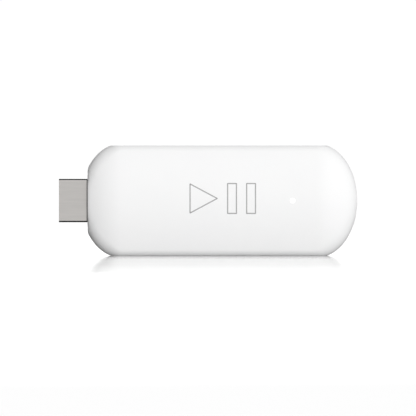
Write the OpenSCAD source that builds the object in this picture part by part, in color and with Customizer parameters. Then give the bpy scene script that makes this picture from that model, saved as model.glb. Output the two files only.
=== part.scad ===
// Streaming media player: a slim pebble-shaped stick that plugs straight into a television.
// It stands on one of its two long flats. +X points away from the plug, the broad front faces
// -Y and +Z is up. The origin is the middle of the whole footprint, on the standing surface.

/* [Case] */
// Height between the two long flats
case_height = 35.3; // [35:0.1:35.6]
// Greatest depth, front face to back face
case_depth = 14; // [13.8:0.1:15]
// Length of the straight middle, between the two rounded ends
straight_length = 63; // [63:0.5:66]
// How far each rounded end reaches beyond the straight middle
end_reach = 12.9; // [12.5:0.1:13.5]
// Half-height that the rounded outline would have if the long flats did not cut it off
round_half_height = 18.25; // [18.1:0.05:18.4]
// Radius that rolls the front and back faces into the sides
edge_radius = 3.75; // [3.5:0.05:4]
// Half-depth of the upright band between the front and back edge radii
band_half_depth = 0.75; // [0.6:0.05:0.9]
// From the middle of the case to the flat end face around the plug
plug_face = 42.2; // [42:0.1:42.5]
// Wall thickness of both shells
wall = 1.3; // [1.2:0.05:1.4]
// Thickness of the alignment rim inside the seam
rim = 0.6; // [0.5:0.05:0.8]
// How far the rim stands past the seam
rim_reach = 0.8; // [0.6:0.1:1]

/* [Video plug] */
// Width of the plug's metal shell
plug_width = 13.9; // [13.85:0.05:13.95]
// Depth of the plug's metal shell
plug_depth = 4.45; // [4.4:0.01:4.5]
// How far the plug stands out of the case
plug_reach = 9.15; // [9:0.05:12]
// Sheet thickness of the plug's shell
plug_sheet = 0.3; // [0.25:0.05:0.35]
// Spacing of the contacts in each row
plug_pitch = 1; // [1]

/* [Power inlet] */
// Place of the inlet along the case, from its middle
usb_x = 13; // [12:0.5:15]
// Width of the inlet's metal shell
usb_width = 7.5; // [7.4:0.05:7.6]
// Depth of the inlet's metal shell
usb_depth = 2.5; // [2.45:0.05:2.6]
// Length of the inlet's metal shell
usb_length = 5; // [4.9:0.05:5.1]
// Sheet thickness of the inlet's shell
usb_sheet = 0.25; // [0.2:0.05:0.25]

/* [Reset button] */
// Place of the button along the case, from its middle
button_x = -10; // [-12:0.5:-8]
// Length of the button's face
button_length = 5; // [4.5:0.1:5.5]
// Width of the button's face
button_width = 2; // [1.8:0.1:2.2]
// How far the button can be pressed
button_travel = 0.3; // [0.2:0.05:0.35]
// Gap between the button and its opening, all round
button_gap = 0.1; // [0.1:0.01:0.15]

/* [Board] */
// Thickness of the circuit board
board_depth = 1; // [0.8:0.1:1]
// Half-height of the circuit board
board_half_height = 14.6; // [14.4:0.1:14.8]
// From the middle of the case to the board's plain end
board_end = 38.6; // [38:0.1:39]
// Radius of a screw's shank
screw_radius = 0.8; // [0.7:0.05:0.8]
// Length of a screw's shank
screw_length = 3.8; // [3.5:0.1:4]

/* [Light] */
// Place of the status light along the case, from its middle
light_x = 23.6; // [22:0.1:25]
// Radius of the light window
light_radius = 0.8; // [0.6:0.05:1]

/* [Hidden] */

FRONT = -1;
BACK = 1;
// An amount by which a cutter runs past the face it cuts, or a joined piece into its neighbour
over = 0.1;
// Gap between fixed pieces that slide together when the stick is put together
fit = 0.05;
// Gap between pieces that lie snugly against each other
snug = 0.02;

half_straight = straight_length / 2;
half_height = case_height / 2;
half_depth = case_depth / 2;
// The front and back faces are one shallow crown that runs smoothly into the edge radius
crown_rise = half_depth - band_half_depth;
crown_radius = (pow(round_half_height, 2) + pow(crown_rise, 2) - 2 * round_half_height * edge_radius)
    / (2 * (crown_rise - edge_radius));
// The case sits off the middle of the footprint because the plug stands out at one end
case_x = (plug_face + plug_reach - half_straight - end_reach) / 2;

// Plug, along X from the middle of the case
plug_tip = -plug_face - plug_reach;
plug_back = -38;
plug_slot_half_depth = 0.95;
plug_slot_half_width = 5.7;
plug_slot_end = -44.2;
plug_lip = 1;
insulator_back = -37.6;
contact_width = 0.45;
contact_thickness = 0.25;
tail_end = -35.2;
notch_x = -37.2;
notch_half_height = 7.4;
// How far the blades of the contacts stand into the plug's slot
blade_sink = 0.15;

// Power inlet, along Z from the middle of the case
usb_mouth = half_height - 0.3;
usb_back = usb_mouth - usb_length;
usb_tongue_end = usb_mouth - 0.6;
usb_pitch = 0.65;
usb_contact_width = 0.35;
usb_contact_thickness = 0.15;

// Snap hooks, along X from the middle of the case
hook_places = [-25, 1.5, 26];
hook_length = 5;
catch_height = 0.25;

// Reset button and its switch, along Z from the middle of the case
flange_top = half_height - wall;
flange_height = 0.5;
plunger_top = 14.75;
switch_top = 14;
switch_base = 11.8;
switch_half_length = 2.4;
switch_half_depth = 0.95;
dome_base = 12.2;
dome_rise = 0.45;
dome_sheet = 0.1;

// Places on the board are [along X, along Z], and sizes are [along X, along Z, thickness]
screw_points = [[-33, -11.5], [-33, 11.5], [33, -11.5], [33, 11.5]];
shield_front_at = [-5, 0];
shield_front_size = [36, 20.4, 2];
shield_rear_at = [-14, 0];
shield_rear_size = [30, 18, 1.6];
shield_sheet = 0.2;
processor_at = [-14, 0];
processor_size = [14, 14, 1.2];
memory_at = [[4, -5], [4, 5]];
memory_size = [13.3, 7.5, 1.1];
storage_at = [-7, 0];
storage_size = [11.5, 13, 1];
power_at = [-22.5, 3];
power_size = [6, 6, 0.9];
wifi_at = [24.5, -8.2];
wifi_size = [12, 11, 1.7];
pad_thickness = 0.5;
spreader_size = [42, 21, 0.7];
led_size = [1.6, 0.8, 0.6];
crystal_at = [[19, 8], [-27, -9.5]];
crystal_size = [3.2, 2.5, 0.7];
inductor_at = [[-27, 9.8], [-27, 5.2], [15.6, -8]];
inductor_size = [4, 4, 1.6];
esd_at = [[-33, -3], [-33, 0], [-33, 3]];
esd_size = [2.5, 1, 0.5];
capacitor_size = [1.6, 0.8, 0.8];
// Each row: where it starts along X, its place along Z, its pitch, how many, and the board's face
capacitor_rows = [[-24, 12.2, 2.6, 4, FRONT], [-20, -12.2, 2.6, 8, FRONT], [28, 5, 2.2, 3, FRONT],
    [6, -6, 2.6, 6, BACK], [6, 6, 2.6, 6, BACK]];

// Draws its children about the middle of the case
module placed() {
    translate([case_x, 0, half_height]) children();
}

// Half of the case's section, radius along X and depth along Y, shrunk by inset
module half_section(inset) {
    b = round_half_height - inset;
    a = half_depth - inset;
    r = edge_radius - inset;
    crown = crown_radius - inset;
    meet = (b - r) * crown / (crown - r);
    intersection() {
        translate([0, -a]) square([meet, 2 * a]);
        translate([0, a - crown]) circle(r = crown, $fn = 240);
        translate([0, crown - a]) circle(r = crown, $fn = 240);
    }
    intersection() {
        translate([meet, -a]) square([b - meet, 2 * a]);
        union() {
            translate([b - r, band_half_depth]) circle(r = r, $fn = 64);
            translate([b - r, -band_half_depth]) circle(r = r, $fn = 64);
            translate([meet, -band_half_depth]) square([b - meet, 2 * band_half_depth]);
        }
    }
}

// The whole outside form of the case, shrunk by inset on every side
module pebble(inset) {
    stretch = (end_reach - inset) / (round_half_height - inset);
    intersection() {
        union() {
            rotate([90, 0, 90]) linear_extrude(straight_length, center = true) {
                rotate(90) half_section(inset);
                rotate(-90) half_section(inset);
            }
            for (side = [0, 1]) mirror([side, 0, 0]) translate([half_straight, 0, 0])
                scale([stretch, 1, 1]) rotate([90, 0, 0])
                    rotate_extrude(angle = 180, start = -90, $fn = 96) half_section(inset);
        }
        translate([-plug_face + inset, -case_depth, -half_height + inset])
            cube([2 * plug_face + end_reach, 2 * case_depth, case_height - 2 * inset]);
    }
}

// Everything from depth_a to depth_b, as a slab that cuts or keeps part of the case
module slab(depth_a, depth_b) {
    translate([-plug_face - 1, depth_a, -half_height - 1])
        cube([2 * plug_face + end_reach, depth_b - depth_a, case_height + 2]);
}

// A rectangle with fully round ends, longest along X
module stadium(length, width) {
    square([length - width, width], center = true);
    for (side = [-1, 1]) translate([side * (length - width) / 2, 0]) circle(d = width, $fn = 48);
}

// Outline of the video plug: depth along X and width along Y, wide face at the front
module plug_outline() {
    w = plug_width / 2;
    d = plug_depth / 2;
    shoulder = 0.1;
    slope = 1.85;
    narrow = w - slope;
    polygon([[-d, -w], [shoulder, -w], [d, -narrow], [d, narrow], [shoulder, w], [-d, w]]);
}

// The video plug's outline, grown by grow and drawn from x_a to x_b
module plug_bar(grow, x_a, x_b) {
    translate([x_a, 0, 0]) rotate([90, 0, 90]) linear_extrude(x_b - x_a)
        offset(delta = grow) plug_outline();
}

// Outline of the power inlet: width along X and depth along Y, wide face at the front
module usb_outline() {
    w = usb_width / 2;
    d = usb_depth / 2;
    shoulder = 0.2;
    slope = 0.75;
    polygon([[-w, -d], [w, -d], [w, shoulder], [w - slope, d], [-w + slope, d], [-w, shoulder]]);
}

// The power inlet's outline, grown by grow and drawn from z_a to z_b
module usb_bar(grow, z_a, z_b) {
    translate([usb_x, 0, z_a]) linear_extrude(z_b - z_a) offset(delta = grow) usb_outline();
}

// Every opening that crosses the seam: plug, power inlet and button
module seam_openings() {
    plug_gap = 0.12;
    usb_gap = 0.15;
    plug_bar(plug_gap, -plug_face - 1, -plug_face + wall + rim + 1);
    usb_bar(usb_gap, usb_back - 1, half_height + 1);
    translate([button_x, 0, flange_top - over]) linear_extrude(wall + 1)
        stadium(button_length + 2 * button_gap, button_width + 2 * button_gap);
}

// Room inside the seam for the button's flange and the power inlet's wings
module seam_clearance() {
    flange_room = 8;
    inlet_room = 11.5;
    room_depth = 6;
    room_height = 2;
    for (room = [[button_x, flange_room], [usb_x, inlet_room]])
        translate([room[0] - room[1] / 2, -room_depth / 2, flange_top - room_height])
            cube([room[1], room_depth, room_height]);
}

// Snap hooks along both flats: tabs that reach over the seam, each with a catch. Each point of
// the outline is [depth past the seam, height above the inside of the flat]
module snap_hooks() {
    root = -2;
    neck = -0.3;
    tip = 1.9;
    catch_start = 1.1;
    catch_full = 1.4;
    catch_end = 1.7;
    underside = -0.8;
    for (x = hook_places) for (side = [0, 1]) mirror([0, 0, side])
        translate([x - hook_length / 2, 0, flange_top]) rotate([90, 0, 90]) linear_extrude(hook_length)
            polygon([[root, over], [neck, over], [neck, -over], [catch_start, -over],
                [catch_full, catch_height], [catch_end, catch_height], [tip, -over],
                [tip, underside], [root, underside]]);
}

// Pockets that the catches snap into
module snap_pockets() {
    pocket_length = hook_length + 0.4;
    pocket_start = 1;
    pocket_depth = 0.9;
    pocket_base = flange_top - 0.3;
    pocket_top = flange_top + catch_height + 0.15;
    for (x = hook_places) for (side = [0, 1]) mirror([0, 0, side])
        translate([x - pocket_length / 2, pocket_start, pocket_base])
            cube([pocket_length, pocket_depth, pocket_top - pocket_base]);
}

// A rib across the plug, from the shell's inside to the plug's face
module plug_rib(side) {
    rib_x = -39.7;
    rib_thickness = 0.9;
    rib_half_height = 4.6;
    rib_start = plug_depth / 2 + snug;
    mirror([0, side < 0 ? 1 : 0, 0]) intersection() {
        pebble(wall / 2);
        translate([rib_x, rib_start, -rib_half_height])
            cube([rib_thickness, half_depth, 2 * rib_half_height]);
    }
}

// White moulded front half, with the alignment rim and the snap hooks
module front_shell() {
    rim_root = -1.2;
    rim_step = -0.2;
    hole_start = -half_depth + 2;
    hole_length = 3;
    color("white") placed() difference() {
        union() {
            difference() {
                intersection() {
                    pebble(0);
                    slab(-half_depth - 1, 0);
                }
                pebble(wall);
            }
            difference() {
                union() {
                    intersection() {
                        pebble(wall - over);
                        slab(rim_root, rim_step);
                    }
                    intersection() {
                        pebble(wall + fit);
                        slab(rim_step - over, rim_reach);
                    }
                }
                pebble(wall + rim);
                seam_clearance();
            }
            snap_hooks();
            plug_rib(FRONT);
        }
        seam_openings();
        translate([light_x, hole_start, 0]) rotate([90, 0, 0])
            cylinder(h = hole_length, r = light_radius + fit, $fn = 48);
    }
}

// White moulded back half, with the four screw bosses and the snap pockets
module rear_shell() {
    boss_radius = 1.9;
    boss_end = 4.8;
    pilot_radius = screw_radius;
    pilot_end = 4;
    color("white") placed() difference() {
        union() {
            difference() {
                intersection() {
                    pebble(0);
                    slab(0, half_depth + 1);
                }
                pebble(wall);
            }
            for (p = screw_points) translate([p[0], boss_end, p[1]]) rotate([90, 0, 0])
                cylinder(h = boss_end - board_depth / 2, r = boss_radius, $fn = 48);
            plug_rib(BACK);
        }
        seam_openings();
        snap_pockets();
        for (p = screw_points) translate([p[0], pilot_end, p[1]]) rotate([90, 0, 0])
            cylinder(h = pilot_end, r = pilot_radius, $fn = 48);
    }
}

// Clear rod that carries the light from the board to the front face
module light_pipe() {
    flange_radius = 1.7;
    flange_thickness = 0.5;
    pipe_gap = 0.25;
    led_top = board_depth / 2 + led_size[2];
    color("ghostwhite") placed() translate([light_x, 0, 0]) rotate([90, 0, 0]) {
        translate([0, 0, led_top + pipe_gap])
            cylinder(h = half_depth - led_top - pipe_gap, r = light_radius, $fn = 48);
        translate([0, 0, half_depth - wall - flange_thickness])
            cylinder(h = flange_thickness - fit, r = flange_radius, $fn = 48);
    }
}

// Folded sheet shell of the video plug, with two wings soldered to the board
module hdmi_shell() {
    window = [2.6, 2.2];
    window_start = plug_tip + 3.4;
    window_z = 2.7;
    wing_x = -39.9;
    wing_root = plug_width / 2 - 0.8;
    wing_end = 9.6;
    wing_thickness = 0.3;
    color("silver") placed() {
        difference() {
            plug_bar(0, plug_tip, plug_back);
            plug_bar(-plug_sheet, plug_tip - 1, plug_back + 1);
            for (side = [-1, 1]) translate([window_start, 1, side * window_z - window[1] / 2])
                cube([window[0], plug_depth, window[1]]);
        }
        for (side = [0, 1]) mirror([0, 0, side])
            translate([wing_x, board_depth / 2, wing_root])
                cube([plug_back - wing_x, wing_thickness, wing_end - wing_root]);
    }
}

// One contact blade of the plug: runs along the slot, steps over and lies on the board
module plug_contact(z) {
    blade_face = plug_slot_half_depth - blade_sink;
    tip_inset = 0.8;
    blade_tip = plug_tip + plug_lip + tip_inset;
    translate([0, 0, z - contact_width / 2]) linear_extrude(contact_width) polygon([
        [blade_tip, blade_face], [insulator_back, blade_face], [insulator_back, board_depth / 2],
        [tail_end, board_depth / 2], [tail_end, board_depth / 2 + contact_thickness],
        [insulator_back + contact_thickness, board_depth / 2 + contact_thickness],
        [insulator_back + contact_thickness, blade_face + contact_thickness],
        [blade_tip, blade_face + contact_thickness]]);
}

// Ten contacts on the front side of the slot
module hdmi_contacts_front() {
    color("gold") placed() mirror([0, 1, 0])
        for (i = [0 : 9]) plug_contact((i - 4.5) * plug_pitch);
}

// Nine contacts on the back side of the slot
module hdmi_contacts_rear() {
    color("gold") placed() for (i = [0 : 8]) plug_contact((i - 4) * plug_pitch);
}

// Black moulded block that lines the plug and holds its contacts
module hdmi_insulator() {
    groove = contact_width / 2;
    groove_depth = plug_slot_half_depth - blade_sink + contact_thickness;
    color([0.08, 0.08, 0.08]) placed() difference() {
        plug_bar(-plug_sheet - snug, plug_tip + plug_lip, insulator_back);
        translate([plug_tip, -plug_slot_half_depth, -plug_slot_half_width])
            cube([plug_slot_end - plug_tip, 2 * plug_slot_half_depth, 2 * plug_slot_half_width]);
        for (i = [0 : 9]) translate([plug_tip, -groove_depth, (i - 4.5) * plug_pitch - groove])
            cube([-plug_tip, contact_thickness, contact_width]);
        for (i = [0 : 8]) translate([plug_tip, groove_depth - contact_thickness,
            (i - 4) * plug_pitch - groove]) cube([-plug_tip, contact_thickness, contact_width]);
    }
}

// Draws its children on one face of the board, with +Y as the way off the board
module on_board(at, face) {
    mirror([0, face < 0 ? 1 : 0, 0]) translate([at[0], board_depth / 2, at[1]]) children();
}

// A box that stands on the board
module block(size) {
    translate([-size[0] / 2, 0, -size[1] / 2]) cube([size[0], size[2], size[1]]);
}

// A chip package: a thin carrier, a smaller moulded cap and the dimple that marks its first pin
module chip(size) {
    carrier = 0.3;
    margin = 0.25;
    dimple_radius = 0.35;
    dimple_inset = 1;
    dimple_depth = 0.06;
    difference() {
        union() {
            block([size[0], size[1], carrier]);
            block([size[0] - 2 * margin, size[1] - 2 * margin, size[2]]);
        }
        translate([dimple_inset - size[0] / 2, size[2] + 1, size[1] / 2 - dimple_inset])
            rotate([90, 0, 0]) cylinder(h = 1 + dimple_depth, r = dimple_radius, $fn = 24);
    }
}

// Green board, notched for the plug, the power inlet and the button's switch
module main_board() {
    corner_x = 36;
    corner_z = 11;
    ear_x = -40;
    ear_z = 9.9;
    slope_x = -36;
    inlet_gap = 0.25;
    inlet_half = usb_width / 2 + inlet_gap;
    switch_gap = 0.15;
    switch_half = switch_half_length + switch_gap;
    screw_gap = 0.15;
    color("darkgreen") placed() rotate([90, 0, 0]) difference() {
        linear_extrude(board_depth, center = true) difference() {
            polygon([[ear_x, -ear_z], [slope_x, -board_half_height], [corner_x, -board_half_height],
                [board_end, -corner_z], [board_end, corner_z], [corner_x, board_half_height],
                [slope_x, board_half_height], [ear_x, ear_z]]);
            translate([ear_x - 1, -notch_half_height])
                square([notch_x - ear_x + 1, 2 * notch_half_height]);
            translate([usb_x - inlet_half, usb_back - 0.2]) square([2 * inlet_half, usb_length]);
            translate([button_x - switch_half, switch_base - switch_gap])
                square([2 * switch_half, usb_length]);
        }
        for (p = screw_points) translate([p[0], p[1], -board_depth])
            cylinder(h = 2 * board_depth, r = screw_radius + screw_gap, $fn = 48);
    }
}

// Main processor, under the front shield
module processor() {
    color("black") placed() on_board(processor_at, FRONT) chip(processor_size);
}

// Two working-memory chips beside the processor
module memory_chips() {
    color("black") placed() for (p = memory_at) on_board(p, FRONT) chip(memory_size);
}

// Storage chip, under the back shield
module storage_chip() {
    color("black") placed() on_board(storage_at, BACK) chip(storage_size);
}

// Power management chip, under the back shield
module power_chip() {
    color("black") placed() on_board(power_at, BACK) chip(power_size);
}

// Radio module: a small carrier with its own metal can
module wifi_module() {
    carrier = 0.6;
    can_margin = 0.8;
    color("silver") placed() on_board(wifi_at, FRONT) {
        block([wifi_size[0], wifi_size[1], carrier]);
        block([wifi_size[0] - 2 * can_margin, wifi_size[1] - can_margin, wifi_size[2]]);
    }
}

// Surge-protection arrays on the video lines behind the plug
module esd_arrays() {
    color("dimgray") placed() for (p = esd_at) on_board(p, FRONT) block(esd_size);
}

// Two quartz crystals in metal cans
module crystals() {
    lid_margin = 0.2;
    lid_height = 0.2;
    color("silver") placed() for (p = crystal_at) on_board(p, FRONT) {
        block([crystal_size[0], crystal_size[1], crystal_size[2] - lid_height]);
        block([crystal_size[0] - 2 * lid_margin, crystal_size[1] - 2 * lid_margin, crystal_size[2]]);
    }
}

// Three moulded power inductors
module inductors() {
    step_margin = 0.3;
    step_height = 0.3;
    color("dimgray") placed() for (p = inductor_at) on_board(p, FRONT) {
        block([inductor_size[0], inductor_size[1], inductor_size[2] - step_height]);
        block([inductor_size[0] - 2 * step_margin, inductor_size[1] - 2 * step_margin,
            inductor_size[2]]);
    }
}

// Ceramic capacitors in rows beside the chips, on both faces
module capacitors() {
    color("tan") placed() for (row = capacitor_rows) for (i = [0 : row[3] - 1])
        on_board([row[0] + row[2] * i, row[1]], row[4]) block(capacitor_size);
}

// Soldered sheet fence that a shield lid clips over
module shield_frame(size) {
    lip = 1.2;
    difference() {
        block(size);
        translate([0, -1, 0]) block([size[0] - 2 * shield_sheet, size[1] - 2 * shield_sheet,
            size[2] + 1 - shield_sheet]);
        block([size[0] - 2 * lip, size[1] - 2 * lip, size[2] + 1]);
    }
}

// Pressed sheet lid with a skirt, clipped over the fence
module shield_lid(size) {
    skirt = 1.3;
    outer = [size[0] + 2 * (shield_sheet + snug), size[1] + 2 * (shield_sheet + snug)];
    translate([0, size[2] - skirt, 0]) difference() {
        block([outer[0], outer[1], skirt + shield_sheet]);
        translate([0, -1, 0]) block([size[0] + 2 * snug, size[1] + 2 * snug, skirt + 1]);
    }
}

// Fence around the processor and its memory
module shield_frame_front() {
    color("silver") placed() on_board(shield_front_at, FRONT) shield_frame(shield_front_size);
}

// Lid over the processor and its memory
module shield_lid_front() {
    color("silver") placed() on_board(shield_front_at, FRONT) shield_lid(shield_front_size);
}

// Fence around the storage and power chips
module shield_frame_rear() {
    color("silver") placed() on_board(shield_rear_at, BACK) shield_frame(shield_rear_size);
}

// Lid over the storage and power chips
module shield_lid_rear() {
    color("silver") placed() on_board(shield_rear_at, BACK) shield_lid(shield_rear_size);
}

// Soft pad that carries heat from the processor to the shield's lid
module thermal_pad_chip() {
    pad_side = 12.5;
    gap = shield_front_size[2] - processor_size[2];
    color("lightblue") placed() on_board(processor_at, FRONT)
        translate([0, processor_size[2], 0]) block([pad_side, pad_side, gap]);
}

// Soft pad between the shield's lid and the heat spreader
module thermal_pad_lid() {
    margin = 3;
    color("lightblue") placed() on_board(shield_front_at, FRONT)
        translate([0, shield_front_size[2] + shield_sheet, 0])
            block([shield_front_size[0] - 2 * margin, shield_front_size[1] - 2 * margin,
                pad_thickness]);
}

// Aluminium plate that spreads the heat behind the front face
module heat_spreader() {
    color("lightgray") placed() on_board(shield_front_at, FRONT)
        translate([0, shield_front_size[2] + shield_sheet + pad_thickness, 0]) block(spreader_size);
}

// Metal shell of the power inlet, with two wings soldered to the board
module usb_shell() {
    wing_reach = 1.6;
    wing_height = 1.6;
    wing_z = usb_back + 0.4;
    color("silver") placed() {
        difference() {
            usb_bar(0, usb_back, usb_mouth);
            usb_bar(-usb_sheet, usb_back - 1, usb_mouth + 1);
        }
        for (side = [0, 1]) translate([usb_x, 0, 0]) mirror([side, 0, 0])
            translate([usb_width / 2 - usb_sheet / 2, -board_depth / 2 - usb_sheet, wing_z])
                cube([wing_reach, usb_sheet, wing_height]);
    }
}

// Five contacts on the power inlet's tongue, with tails that lie on the board
module usb_contacts() {
    tail = 1.1;
    tip_inset = 0.3;
    color("gold") placed() for (i = [-2 : 2])
        translate([usb_x + i * usb_pitch - usb_contact_width / 2,
            -board_depth / 2 - usb_contact_thickness, usb_back - tail])
            cube([usb_contact_width, usb_contact_thickness,
                usb_tongue_end - tip_inset - usb_back + tail]);
}

// Black base and tongue inside the power inlet
module usb_tongue() {
    base_height = 1;
    tongue_width = 3.6;
    tongue_thickness = 0.7;
    color([0.08, 0.08, 0.08]) placed() difference() {
        union() {
            usb_bar(-usb_sheet - snug, usb_back, usb_back + base_height);
            translate([usb_x - tongue_width / 2, -board_depth / 2, usb_back])
                cube([tongue_width, tongue_thickness, usb_tongue_end - usb_back]);
        }
        for (i = [-2 : 2]) translate([usb_x + i * usb_pitch - usb_contact_width / 2,
            -board_depth / 2 - usb_contact_thickness, usb_back - 1])
            cube([usb_contact_width, usb_contact_thickness, base_height + 2]);
    }
}

// Button cap: its face lies flush in the upper flat, and a flange keeps it in the case
module reset_button() {
    sink = 0.05;
    stem_half = 0.9;
    flange_size = [button_length + 1.6, button_width + 1.4];
    color("whitesmoke") placed() translate([button_x, 0, 0]) {
        translate([0, 0, flange_top - flange_height])
            linear_extrude(half_height - sink - flange_top + flange_height)
                stadium(button_length, button_width);
        translate([0, 0, flange_top - flange_height - fit])
            linear_extrude(flange_height) stadium(flange_size[0], flange_size[1]);
        translate([-stem_half, -stem_half, plunger_top + fit])
            cube([2 * stem_half, 2 * stem_half, flange_top - plunger_top - flange_height + fit]);
    }
}

// Side-pressed switch housing, sunk into the board's edge on two soldered wings
module switch_body() {
    cavity = [3.2, 1.5];
    throat = [2, 1.2];
    throat_base = 13.4;
    wing_reach = 0.9;
    wing_thickness = 0.2;
    wing_base = switch_base + 0.3;
    wing_height = 1.4;
    color("dimgray") placed() translate([button_x, 0, 0]) {
        difference() {
            translate([-switch_half_length, -switch_half_depth, switch_base])
                cube([2 * switch_half_length, 2 * switch_half_depth, switch_top - switch_base]);
            translate([-cavity[0] / 2, -cavity[1] / 2, dome_base])
                cube([cavity[0], cavity[1], throat_base - dome_base]);
            translate([-throat[0] / 2, -throat[1] / 2, throat_base - over])
                cube([throat[0], throat[1], switch_top - throat_base + 1]);
        }
        for (side = [0, 1]) mirror([side, 0, 0])
            translate([switch_half_length - over, -board_depth / 2 - wing_thickness, wing_base])
                cube([wing_reach + over, wing_thickness, wing_height]);
    }
}

// Small plunger that the button pushes down onto the snap dome
module switch_plunger() {
    flange = [2.8, 1.3];
    stem = [1.8, 1];
    flange_base = dome_base + dome_rise;
    flange_thickness = 0.4;
    color("darkgray") placed() translate([button_x, 0, flange_base]) {
        translate([-flange[0] / 2, -flange[1] / 2, 0]) cube([flange[0], flange[1], flange_thickness]);
        translate([-stem[0] / 2, -stem[1] / 2, 0])
            cube([stem[0], stem[1], plunger_top - flange_base]);
    }
}

// Arched metal strip that snaps under the plunger and springs it back
module switch_dome() {
    half_span = 1.5;
    strip = 1.1;
    arch_radius = (pow(half_span, 2) + pow(dome_rise, 2)) / (2 * dome_rise);
    color("silver") placed() translate([button_x, 0, dome_base]) rotate([90, 0, 0])
        linear_extrude(strip, center = true) intersection() {
            translate([0, dome_rise - arch_radius]) difference() {
                circle(r = arch_radius, $fn = 64);
                circle(r = arch_radius - dome_sheet, $fn = 64);
            }
            translate([-half_span, 0]) square([2 * half_span, dome_rise + 1]);
        }
}

// Status light on the board, behind the light pipe
module status_led() {
    color("lightyellow") placed() on_board([light_x, 0], FRONT) block(led_size);
}

// Stamped aerial: a strip above the board on two legs, one of them the feed
module antenna() {
    strip_size = [3, 8.5];
    strip_at = [36.6, 6];
    strip_height = 2;
    sheet = 0.25;
    leg_width = 0.8;
    translate([strip_at[0], board_depth / 2, strip_at[1]]) {
        translate([-strip_size[0] / 2, strip_height - sheet, -strip_size[1] / 2])
            cube([strip_size[0], sheet, strip_size[1]]);
        for (z = [-strip_size[1] / 2, 0]) translate([-strip_size[0] / 2, 0, z])
            cube([sheet, strip_height, leg_width]);
    }
}

// Aerial in the upper half of the plain end
module antenna_upper() {
    color("silver") placed() mirror([0, 1, 0]) antenna();
}

// Aerial in the lower half of the plain end
module antenna_lower() {
    color("silver") placed() mirror([0, 1, 0]) mirror([0, 0, 1]) antenna();
}

// Four pan-head screws that hold the board to the back shell
module board_screws() {
    head_radius = 1.5;
    head_height = 0.8;
    recess = [1.6, 0.35, 0.45];
    color("silver") placed() for (p = screw_points)
        translate([p[0], -board_depth / 2, p[1]]) rotate([90, 0, 0]) {
            difference() {
                cylinder(h = head_height, r = head_radius, $fn = 48);
                for (turn = [0, 90]) rotate(turn)
                    translate([-recess[0] / 2, -recess[1] / 2, head_height - recess[2]])
                        cube([recess[0], recess[1], 1]);
            }
            translate([0, 0, -screw_length]) cylinder(h = screw_length, r = screw_radius, $fn = 48);
        }
}

front_shell();
rear_shell();
light_pipe();
hdmi_shell();
hdmi_insulator();
hdmi_contacts_front();
hdmi_contacts_rear();
main_board();
processor();
memory_chips();
storage_chip();
power_chip();
wifi_module();
esd_arrays();
crystals();
inductors();
capacitors();
shield_frame_front();
shield_lid_front();
shield_frame_rear();
shield_lid_rear();
thermal_pad_chip();
thermal_pad_lid();
heat_spreader();
usb_shell();
usb_tongue();
usb_contacts();
reset_button();
switch_body();
switch_plunger();
switch_dome();
status_led();
antenna_upper();
antenna_lower();
board_screws();
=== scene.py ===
import math

import bmesh
import bpy
import numpy as np
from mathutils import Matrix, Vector


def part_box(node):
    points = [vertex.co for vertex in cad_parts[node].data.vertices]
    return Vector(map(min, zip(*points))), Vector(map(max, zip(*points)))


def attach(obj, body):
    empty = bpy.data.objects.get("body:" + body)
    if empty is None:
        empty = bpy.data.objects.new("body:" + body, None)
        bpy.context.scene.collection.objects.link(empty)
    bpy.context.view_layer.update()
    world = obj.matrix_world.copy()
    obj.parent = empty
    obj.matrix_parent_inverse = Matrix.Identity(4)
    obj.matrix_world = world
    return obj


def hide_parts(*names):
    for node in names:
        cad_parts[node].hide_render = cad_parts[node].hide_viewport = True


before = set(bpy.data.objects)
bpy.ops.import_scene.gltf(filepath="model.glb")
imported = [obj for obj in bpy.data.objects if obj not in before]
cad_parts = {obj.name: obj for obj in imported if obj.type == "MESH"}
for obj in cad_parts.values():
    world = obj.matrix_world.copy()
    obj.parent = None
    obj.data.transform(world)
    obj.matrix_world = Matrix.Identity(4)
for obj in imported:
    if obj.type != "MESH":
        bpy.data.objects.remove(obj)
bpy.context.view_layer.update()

# Case shells. The stick's body is two white ABS mouldings, a front and a back, that close on a
# seam round its rim. Each is a shallow crown that rolls into the sides, cut flat above, below
# and round the plug. The tools were polished and then lightly etched, so the skin is satin.
mm = 0.001
half_straight = 31.5 * mm
end_reach = 12.9 * mm
round_half_height = 18.25 * mm
edge_radius = 3.75 * mm
band_half_depth = 0.75 * mm
wall = 1.3 * mm
front_low, front_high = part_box("front_shell")
rear_low, rear_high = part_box("rear_shell")
half_height = (front_high.z - front_low.z) / 2
half_depth = rear_high.y
middle = Vector((front_high.x - half_straight - end_reach, 0, (front_low.z + front_high.z) / 2))
plug_face = middle.x - front_low.x
crown_rise = half_depth - band_half_depth
crown_radius = (round_half_height ** 2 + crown_rise ** 2 - 2 * round_half_height * edge_radius) / (
    2 * (crown_rise - edge_radius))
FRONT = -1
BACK = 1


def crown_depth(z):
    """How far the crown of the front or back face stands from the seam, at a height z."""
    return half_depth - crown_radius + math.sqrt(crown_radius ** 2 - z ** 2)


straight_places = 85
turn_places = 11
arc_places = 101
shoulder_places = 29
plug_places = 25


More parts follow.
